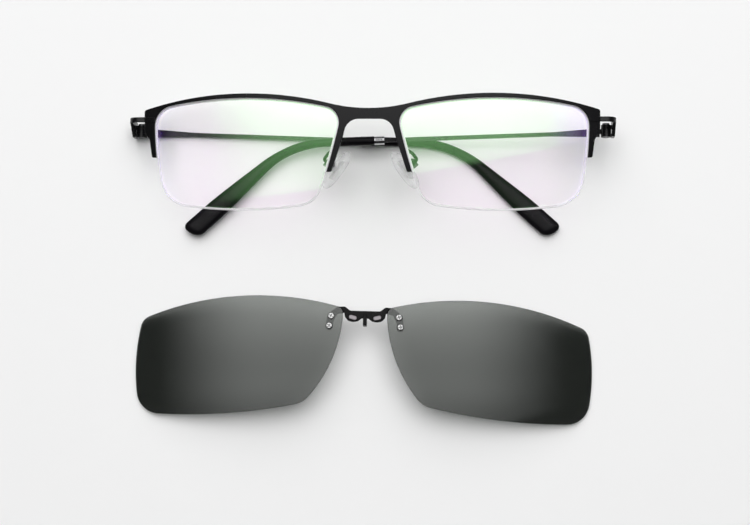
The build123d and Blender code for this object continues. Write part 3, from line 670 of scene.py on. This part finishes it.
finishes = {
    "black_metal": solid_finish(
        "satin_black_metal", (0.003, 0.003, 0.0035), (0.007, 0.0065, 0.0075), (0.2, 0.3),
        gloss=0.24,
    ),
    "shade_metal": solid_finish(
        "glossy_black_metal", (0.002, 0.002, 0.002), (0.004, 0.0035, 0.004), (0.2, 0.3),
        gloss=0.09,
    ),
    "lens_plastic": clear_finish(
        "coated_clear_lens", (0.999, 0.968, 0.999), (0.05, 0.122, 0.044),
        # outer ends: painted violet reflection and less green tint, standing in for slanting views
        ends=((0.994, 0.998, 0.982), (0.12, 0.065, 0.21)),
    ),
    "liner_nylon": solid_finish(
        "clear_liner", (0.86, 0.86, 0.87), (0.92, 0.92, 0.93), (0.22, 0.34), alpha=0.75
    ),
    "cord_nylon": solid_finish(
        "clear_cord", (0.92, 0.93, 0.94), (0.96, 0.96, 0.97), (0.16, 0.28), alpha=0.5
    ),
    "magnet": solid_finish(
        "nickel_magnet", (0.28, 0.26, 0.275), (0.34, 0.315, 0.33), (0.4, 0.5), metal=1.0
    ),
    "insert_metal": solid_finish(
        "pale_insert", (0.74, 0.74, 0.74), (0.82, 0.82, 0.82), (0.35, 0.45)
    ),
    "screw_steel": solid_finish(
        "bright_screw", (0.42, 0.42, 0.42), (0.5, 0.5, 0.5), (0.14, 0.22), metal=1.0
    ),
    "dark_steel": solid_finish(
        "dark_screw", (0.1, 0.1, 0.105), (0.14, 0.14, 0.15), (0.25, 0.35), metal=1.0
    ),
    "collar_steel": solid_finish(
        "bright_collar", (0.5, 0.5, 0.51), (0.58, 0.58, 0.59), (0.14, 0.22), metal=1.0
    ),
    "tip_plastic": solid_finish(
        "glossy_black_sleeve", (0.004, 0.004, 0.005), (0.007, 0.006, 0.007), (0.22, 0.3),
        gloss=0.1, scale=300.0, bump=0.05,
    ),
    "pad_silicone": solid_finish(
        "clear_silicone", (0.88, 0.89, 0.9), (0.94, 0.95, 0.95), (0.14, 0.24),
        scale=300.0, alpha=0.22,
    ),
    "clip_lens": clear_finish(
        "dark_shade_lens", (0.4, 0.408, 0.4), (0.054, 0.0555, 0.054),
        back=(
            on_shade @ Vector((0, 0, -shade_radius)),
            (shade_radius - shade_lens_thickness / 2) / 1000,
            (0.29, 0.3, 0.29), (0.1, 0.102, 0.1),
        ),
    ),
    "bush_nylon": solid_finish(
        "clear_bush", (0.8, 0.8, 0.8), (0.88, 0.88, 0.88), (0.2, 0.3), alpha=0.6
    ),
}


# Front


def front_shell():
    """The metal in one piece, with a ridge that stands proud on each corner."""
    shell = new_shell()
    add_plate(shell, front_line(), eased(0, front_depth, front_edge_round), face_radius)
    near, far = front_half - ridge_length, front_half + ridge_past_corner
    low, high = ridge_y - ridge_half_height, ridge_y + ridge_half_height
    ridge = rounded_line([(near, low, 0.2), (far, low, 0.2), (far, high, 0.2), (near, high, 0.2)])
    for line in (ridge, across(ridge)[::-1]):
        add_plate(shell, line, eased(-ridge_proud, 1, 0.15), face_radius)
    return shell


def lens_shell():
    """Lens with a square groove all round its edge."""
    first = lens_set + groove_set
    last = groove_set + lens_set + groove_width
    groove = [
        (first, 0, 90, 180), (first, -groove_depth, 180, 90), (last, -groove_depth, 90, 0),
        (last, 0, 0, 90),
    ]
    rows = eased(lens_set, lens_set + lens_thickness, lens_edge_round)
    edge = rows[:4] + groove + rows[4:]
    shell = new_shell()
    add_plate(shell, lens_line(), edge, face_radius, step=lens_mesh_step)
    return shell


def run_along(part, profile, radius):
    """Sweeps a closed profile of growth and depth along part of the lens's line."""
    loop = lens_line()
    moves = {tuple(point): move for point, move in zip(loop, mitres(loop))}
    rings = []
    for point in part:
        nearest = min(loop, key=lambda place: (place - point).length)
        move = moves[tuple(nearest)]
        ring = []
        for grow, depth in profile:
            place = point + move * grow
            ring.append(Vector((place.x, place.y, dome(place, depth, radius))))
        rings.append(ring)
    return rings


def liner_shell():
    """Lip that shows between lens and metal, with a bead into the groove of each."""
    inner, outer, ease = 0.03, 0.3, 0.05
    in_lens, in_metal = -0.42, 0.58
    top, foot = lens_set + 0.25, lens_set + lens_thickness - 0.25
    first = lens_set + groove_set + 0.03
    last = first + groove_width - 0.06
    profile = [
        (inner + ease, top), (outer - ease, top), (outer, top + ease), (outer, first),
        (in_metal, first), (in_metal, last), (outer, last), (outer, foot - ease),
        (outer - ease, foot), (inner + ease, foot), (inner, foot - ease), (inner, last),
        (in_lens, last), (in_lens, first), (inner, first), (inner, top + ease),
    ]
    shell = new_shell()
    add_rings(shell, run_along(above(lens_line(), leg_ends), profile, face_radius))
    return shell


def cord_shell():
    """Cord in the groove under the lens, from leg to leg."""
    middle = lens_set + groove_set + groove_width / 2
    turns = [math.radians(30 * step) for step in range(12)]
    profile = [(-0.09 + 0.33 * math.cos(turn), middle + 0.25 * math.sin(turn)) for turn in turns]
    line = lens_line()
    held = above(line, leg_ends)
    index, end = line.index(held[-2]) + 1, line.index(held[1])
    under = []
    while index % len(line) != end:
        under.append(line[index % len(line)])
        index += 1
    shell = new_shell()
    add_rings(shell, run_along([held[-1]] + under + [held[0]], profile, face_radius))
    return shell


dressed(placed("front_shape", front_shell(), on_front), "front", "black_metal", "front_frame")
both("lens", lens_shell, on_front, "front", "lens_plastic")
both("rim_liner", liner_shell, on_front, "front", "liner_nylon")
both("lens_cord", cord_shell, on_front, "front", "cord_nylon")


# Temple sleeves


def smoothed(share):
    """Share from 0 to 1 that sets off and arrives gently."""
    share = min(max(share, 0), 1)
    return share * share * (3 - 2 * share)


def sleeve_place(reach):
    """Middle of the sleeve at a distance along it, and its direction."""
    start = Vector((-sleeve_start, 0))
    angle = math.radians(tip_bend_angle)
    turn = min(max((reach - tip_lead_length) / tip_bend_radius, 0), angle)
    centre = start + Vector((-tip_lead_length, -tip_bend_radius))
    along = Vector((-math.cos(turn), -math.sin(turn)))
    if reach < tip_lead_length:
        return start + along * reach, along
    place = centre + Vector((-math.sin(turn), math.cos(turn))) * tip_bend_radius
    return place + along * (reach - tip_lead_length - turn * tip_bend_radius), along


def sleeve_ring(reach, size):
    """Oval across the sleeve, squarer towards its end, where the ring slants as well."""
    place, along = sleeve_place(reach)
    share = smoothed((reach - tip_swell[0]) / (tip_swell[1] - tip_swell[0]))
    height = (tip_waist + (tip_height - tip_waist) * share) * size / 2
    thick = tip_thickness * size / 2
    squareness = 2 / (2 + 0.7 * share)
    ending = smoothed(1 - (tip_length - reach) / tip_slant_length)
    ring = []
    for step in range(40):
        turn = 2 * math.pi * step / 40
        wide = math.copysign(abs(math.cos(turn)) ** squareness, math.cos(turn)) * height
        high = math.copysign(abs(math.sin(turn)) ** squareness, math.sin(turn)) * thick
        lower = 0.5 + wide / tip_height
        point = place - along * ending * (tip_slants[0] * (1 - lower) + tip_slants[1] * lower)
        x, y = point.x - along.y * wide, point.y + along.x * wide
        ring.append(Vector((x, y, sleeve_lift + high)))
    return ring


def sleeve_shell():
    """Sleeve with a mouth that widens in steps and a round end."""
    mouth = ((0, 0.9), (0.06, 0.96), (0.2, 1))
    rings = [sleeve_ring(reach, size) for reach, size in mouth]
    first, last = mouth[-1][0], tip_length - tip_end_round
    rings += [sleeve_ring(first + (last - first) * step / 60, 1) for step in range(1, 61)]
    for step in range(1, 11):
        turn = math.radians(8.8 * step)
        rings.append(sleeve_ring(last + tip_end_round * math.sin(turn), math.cos(turn) ** 0.8))
    shell = new_shell()
    add_rings(shell, rings)
    return shell


for side, place, mirrored in (("left", on_left_temple, False), ("right", on_right_temple, True)):
    sleeve = placed(f"{side}_sleeve", sleeve_shell(), place, mirrored, 60)
    dressed(sleeve, f"{side}_side", "tip_plastic", f"{side}_temple_tip")


# Nose pads


def pad_matrix():
    """Frame on the pad's screw: x along the pad, y along the screw, z to the nose."""
    splay = math.radians(pad_splay)
    side = Vector((math.sin(splay), 0, -math.cos(splay)))
    lean = Vector((*pad_lean, 0))
    along = (lean - side * lean.dot(side)).normalized()
    towards = side.cross(along)
    matrix = Matrix((along, towards.cross(along), towards)).transposed().to_4x4()
    matrix.translation = Vector(pad_place) - towards * pad_stand
    return matrix


def pad_shell():
    """Soft pillow, its two faces crowned and its rim round."""
    rim_half = pad_thickness / 2 - pad_crown
    halves = []
    for way in (-1, 1):
        half = []
        for share in (0.08, 0.3, 0.55, 0.78):
            half.append((share, way * (rim_half + pad_crown * (1 - share * share))))
        for lean in (0, 18, 36, 54, 72):
            turn = math.radians(lean)
            inset = pad_rim * (1 - math.sin(turn))
            half.append((1 - inset / (pad_width / 2), way * rim_half * math.cos(turn)))
        halves.append(half)
    places = pad_matrix()
    rings = []
    for size, lift in halves[0] + [(1.0, 0.0)] + halves[1][::-1]:
        inset = (1 - size) * pad_width / 2
        ring = []
        for step in range(48):
            turn = 2 * math.pi * step / 48
            long = (pad_length / 2 - inset * 1.35) * math.cos(turn)
            bulge = math.copysign(abs(math.sin(turn)) ** 0.92, math.sin(turn))
            wide = (pad_width / 2 - inset) * bulge
            ring.append(places @ Vector((long, wide, pad_stand + lift)))
        rings.append(ring)
    shell = new_shell()
    add_rings(shell, rings)
    return shell


for side, mirrored in (("left", False), ("right", True)):
    cushion = placed(f"{side}_pad_cushion", pad_shell(), on_front, mirrored, 60)
    dressed(cushion, f"{side}_pad", "pad_silicone", f"{side}_nose_pad")


# Shade


def slot_line(length, height, turn, centre, clockwise=False):
    """Closed line with two straight sides and round ends."""
    reach, radius = (length - height) / 2, height / 2
    axis = Vector((math.cos(math.radians(turn)), math.sin(math.radians(turn))))
    side = Vector((-axis.y, axis.x))
    line = []
    for way in (1, -1):
        end = centre + axis * reach * way
        line += arc(end, radius, -side * way, axis * way, 8)
        line += arc(end, radius, axis * way, side * way, 8)
    return line[::-1] if clockwise else line


def round_line(radius, centre, steps=32, clockwise=False):
    line = []
    for step in range(steps):
        turn = 2 * math.pi * step / steps
        line.append(centre + Vector((math.cos(turn), math.sin(turn))) * radius)
    return line[::-1] if clockwise else line


def shade_lens_shell():
    """Rimless lens with a bore for each screw's bush."""
    spots = [Vector(spot) for spot in shade_screws]
    bores = [round_line(bush_bore_radius, spot, 20, clockwise=True) for spot in spots]
    wall = [(0, 0, 90, 90), (shade_lens_thickness, 0, 90, 90)]
    edge = eased(0, shade_lens_thickness, 0.12)
    shell = new_shell()
    add_plate(shell, shade_lens_line(), edge, shade_radius, bores, wall, step=lens_mesh_step)
    return shell


def shade_bridge_shell():
    """Bar with lobes and shoulders, the arms behind the lenses, and the hook."""
    half = rounded_line(shade_bar)[:-2]
    face = (half + across(half)[::-1])[::-1]
    pockets = [
        slot_line(*magnet_pocket_size, magnet_turn * way, Vector((magnet_x * way, magnet_y)), True)
        for way in (1, -1)
    ]
    floor = shade_face_set + magnet_pocket_depth
    wall = [(shade_face_set, 0, 90, 90), (floor, 0, 90, 90)]
    shell = new_shell()
    bar_edge = eased(shade_face_set, arm_inner, 0.2)
    add_plate(shell, face, bar_edge, shade_radius, pockets, wall, blind=True)
    arm = rounded_line(shade_arm)
    for line in (arm[::-1], across(arm)):
        add_plate(shell, line, eased(arm_outer - arm_bedding, arm_inner, 0.15), shade_radius)
    hook = (
        (12.9, 0.3, 0.55, eased(0.02, arm_inner, 0.25)),  # stem
        (10.15, 0.2, 0.3, eased(1.13, hook_reach, 0.12)),  # tongue
        (11.1, 0.3, 0.3, eased(5.05, hook_reach, 0.15)),  # lip
    )
    for top, top_round, foot_round, edge in hook:
        corners = [
            (-hook_half, top, top_round), (hook_half, top, top_round),
            (hook_half, hook_foot, foot_round), (-hook_half, hook_foot, foot_round),
        ]
        add_plate(shell, rounded_line(corners)[::-1], edge, shade_radius)
    return shell


def shade_magnet_shell():
    line = slot_line(*magnet_size, magnet_turn, Vector((magnet_x, magnet_y)))
    edge = eased(shade_face_set, shade_face_set + magnet_thickness, 0.12)
    shell = new_shell()
    add_plate(shell, line, edge, shade_radius)
    return shell


both("clip_lens", shade_lens_shell, on_shade, "clip", "clip_lens")
both("clip_magnet", shade_magnet_shell, on_shade, "clip", "magnet")
shade_bridge = placed("shade_bridge", shade_bridge_shell(), on_shade)
dressed(shade_bridge, "clip", "shade_metal", "clip_bridge", slot="black_metal")


def screw_pattern():
    """One pan head screw about its seat, with its cross cut in."""
    flat_radius = 10000.0  # a dome so wide that it is flat
    long, wide = 0.62, 0.19
    cross = []
    for quarter in range(4):
        turn = Matrix.Rotation(math.radians(20 + 90 * quarter), 2)
        cross += [turn @ Vector(place) for place in ((long, -wide), (long, wide), (wide, wide))]
    head_line = round_line(screw_head_radius, Vector((0, 0)))
    head_edge = [
        (-0.5, -0.36, 0, 8), (-0.47, -0.22, 22, 22), (-0.38, -0.08, 50, 50),
        (-0.26, -0.01, 80, 80), (-0.14, 0, 90, 90), (0, 0, 90, 180),
    ]
    recess = [(-0.5, 0, 65, 65), (-0.1, 0.12, 65, 65)]
    shell = new_shell()
    add_plate(shell, head_line, head_edge, flat_radius, [cross[::-1]], recess, blind=True)
    shank_line = round_line(screw_shank_radius, Vector((0, 0)), 20)
    shank_edge = [(-0.1, 0, 90, 90), (2.6, 0, 90, 90), (2.68, -0.08, 140, 180)]
    add_plate(shell, shank_line, shank_edge, flat_radius)
    return placed("screw_pattern", shell, millimetre)


def screws_on_places(pattern):
    """Tree that stands the pattern on every point, and what its two inputs are set to."""
    tree = bpy.data.node_groups.new("screws_on_places", "GeometryNodeTree")
    add_socket = tree.interface.new_socket
    add_socket("Geometry", in_out="INPUT", socket_type="NodeSocketGeometry")
    size = add_socket("Screw size", in_out="INPUT", socket_type="NodeSocketFloat")
    turn = add_socket("Turn of the cross", in_out="INPUT", socket_type="NodeSocketFloat")
    add_socket("Geometry", in_out="OUTPUT", socket_type="NodeSocketGeometry")
    entry = add_node(tree, "NodeGroupInput", {}).outputs
    screw = add_node(tree, "GeometryNodeObjectInfo", {"Object": pattern}).outputs["Geometry"]
    lean = add_node(
        tree, "GeometryNodeInputNamedAttribute", {"Name": "lean"}, data_type="FLOAT_VECTOR"
    ).outputs["Attribute"]
    upright = add_node(
        tree, "FunctionNodeAlignRotationToVector", {"Vector": lean}, axis="Z"
    ).outputs["Rotation"]
    index = add_node(tree, "GeometryNodeInputIndex", {}).outputs["Index"]
    angle = worked_out(tree, "MULTIPLY", index, entry["Turn of the cross"])
    about_itself = add_node(
        tree, "FunctionNodeAxisAngleToRotation", {"Axis": (0, 0, 1), "Angle": angle}
    ).outputs["Rotation"]
    turned_screw = add_node(
        tree, "FunctionNodeRotateRotation", {"Rotation": upright, "Rotate By": about_itself},
        rotation_space="LOCAL",
    ).outputs["Rotation"]
    sockets = {
        "Points": entry["Geometry"], "Instance": screw, "Rotation": turned_screw,
        "Scale": entry["Screw size"],
    }
    spread = add_node(tree, "GeometryNodeInstanceOnPoints", sockets).outputs["Instances"]
    whole = add_node(tree, "GeometryNodeRealizeInstances", {"Geometry": spread}).outputs["Geometry"]
    sockets = {"Geometry": whole, "Material": finishes["screw_steel"]}
    coated = add_node(tree, "GeometryNodeSetMaterial", sockets).outputs["Geometry"]
    add_node(tree, "NodeGroupOutput", {"Geometry": coated})
    return tree, {size.identifier: 1.0, turn.identifier: 0.7}


def spread_screws():
    """The shade's four screws as one plain mesh, square to the dome at their places."""
    spots, leans = [], []
    for x, y in shade_screws:
        for way in (1, -1):
            spot = Vector((x * way, y))
            top = Vector((spot.x, spot.y, dome(spot, 0, shade_radius)))
            spots.append(on_shade @ top)
            leans.append((on_shade.to_3x3() @ (top + Vector((0, 0, shade_radius)))).normalized())
    pattern = screw_pattern()
    mesh = bpy.data.meshes.new("shade_screws")
    mesh.from_pydata(spots, [], [])
    lean = mesh.attributes.new("lean", "FLOAT_VECTOR", "POINT")
    lean.data.foreach_set("vector", [number for vector in leans for number in vector])
    cloud = bpy.data.objects.new("shade_screws", mesh)
    bpy.context.scene.collection.objects.link(cloud)
    modifier = cloud.modifiers.new("screws", "NODES")
    modifier.node_group, inputs = screws_on_places(pattern)
    for identifier, value in inputs.items():
        modifier[identifier] = value
    ready = cloud.evaluated_get(bpy.context.evaluated_depsgraph_get())
    result = bpy.data.meshes.new_from_object(ready)
    cloud.modifiers.clear()
    cloud.data = result
    bpy.data.objects.remove(pattern)
    return cloud


dressed(spread_screws(), "clip", "screw_steel", "clip_lens_screws")


# Nodes whose shape is right as it is. Names without a side come in pairs.
kept_pairs = {
    "black_metal": ("end_piece", "temple", "pad_arm"),
    "dark_steel": ("hinge_screw", "pad_screw"),
    "magnet": ("bridge_magnet",),
    "insert_metal": ("pad_insert",),
    "collar_steel": ("temple_collar",),
}
kept_finishes = {"clip_lens_nuts": "screw_steel", "clip_lens_bushes": "bush_nylon"}
for finish, names in kept_pairs.items():
    kept_finishes |= {f"{side}_{name}": finish for name in names for side in ("left", "right")}
for name, finish in kept_finishes.items():
    for material_slot in frame["nodes"][name].material_slots:
        material_slot.material = finishes[finish]


# Table, light and camera, in metres


def table():
    half, drop = 2, 0.00003
    corners = [(x * half, y * half, -drop) for x, y in ((-1, -1), (1, -1), (1, 1), (-1, 1))]
    mesh = bpy.data.meshes.new("table_top")
    mesh.from_pydata(corners, [], [[0, 1, 2, 3]])
    top = bpy.data.objects.new("table_top", mesh)
    bpy.context.scene.collection.objects.link(top)
    white, paler = (0.86, 0.86, 0.86), (0.88, 0.88, 0.88)
    mesh.materials.append(
        solid_finish("white_table", white, paler, (0.55, 0.65), scale=400.0, bump=0.02)
    )


def studio_light():
    """A dim room under a broad soft light, which is brighter beyond the brows.

    Directions are given by where they meet a ceiling one unit up: how far ahead, beyond
    the brows, and how far sideways. The light's edge on the near side slants.
    """
    world = bpy.data.worlds.new("studio")
    bpy.context.scene.world = world
    world.use_nodes = True
    tree = world.node_tree
    tree.nodes.clear()
    direction = add_node(tree, "ShaderNodeTexCoord", {}).outputs["Generated"]
    parts = add_node(tree, "ShaderNodeSeparateXYZ", {"Vector": direction}).outputs
    height = worked_out(tree, "MAXIMUM", parts["Z"], 0.001)
    sideways = worked_out(tree, "DIVIDE", parts["X"], height)
    ahead = worked_out(tree, "DIVIDE", parts["Y"], height)
    aside = worked_out(tree, "ABSOLUTE", worked_out(tree, "ADD", sideways, 0.02))
    slanting = worked_out(tree, "ADD", ahead, worked_out(tree, "MULTIPLY", sideways, -0.18))

    near_level, lamp_strength, room_strength = 0.45, 2.0, 0.05
    rises = [
        worked_out(tree, "MULTIPLY", soft_step(tree, ahead, start, end), rise)
        for start, end, rise in ((-0.19, -0.03, 0.55), (0.0, 0.22, 0.5))
    ]
    level = worked_out(tree, "ADD", worked_out(tree, "ADD", *rises), near_level)
    sides, near_edge, far_edge = (
        soft_step(tree, value, outside, within)
        for value, outside, within in (
            (aside, 0.76, 0.3), (slanting, -0.262, -0.232), (ahead, 1.2, 0.6),
        )
    )
    edges = worked_out(tree, "MULTIPLY", worked_out(tree, "MULTIPLY", sides, near_edge), far_edge)
    lamp = worked_out(tree, "MULTIPLY", level, edges)
    lit = worked_out(tree, "MULTIPLY", lamp, lamp_strength)
    strength = worked_out(tree, "ADD", lit, room_strength)
    background = add_node(tree, "ShaderNodeBackground", {"Strength": strength})
    add_node(tree, "ShaderNodeOutputWorld", {"Surface": background.outputs["Background"]})


def overhead_lamp():
    """Broad lamp beyond the brows that shapes the shadows and isn't mirrored."""
    place, aim = Vector((0.0, 0.6, 0.85)), Vector((0, 0, 0))
    lamp = bpy.data.lights.new("overhead", "AREA")
    lamp.shape = "SQUARE"
    lamp.size = 1.6
    lamp.energy = 12.0
    holder = bpy.data.objects.new("overhead", lamp)
    bpy.context.scene.collection.objects.link(holder)
    holder.location = place
    holder.rotation_euler = (aim - place).to_track_quat("-Z", "Y").to_euler()
    holder.visible_glossy = False


def camera():
    """Camera at the photograph's angle, aimed between the glasses and the shade."""
    azimuth, elevation = math.radians(0.47), math.radians(84.14)
    aim, distance = Vector((0.00125, -0.0002, 0.005)), 0.4955
    back = Vector(
        (
            math.sin(azimuth) * math.cos(elevation),
            -math.cos(azimuth) * math.cos(elevation),
            math.sin(elevation),
        )
    )
    right = Vector((0, 0, 1)).cross(back).normalized()
    view = bpy.data.cameras.new("photo_view")
    view.sensor_width = 36.0
    view.lens = 78.89
    view.clip_start = 0.01
    holder = bpy.data.objects.new("photo_view", view)
    bpy.context.scene.collection.objects.link(holder)
    turn = Matrix((right, back.cross(right), back)).transposed().to_4x4()
    holder.matrix_world = Matrix.Translation(aim + back * distance) @ turn
    bpy.context.scene.camera = holder


table()
studio_light()
overhead_lamp()
camera()
bpy.context.scene.view_settings.view_transform = "Standard"
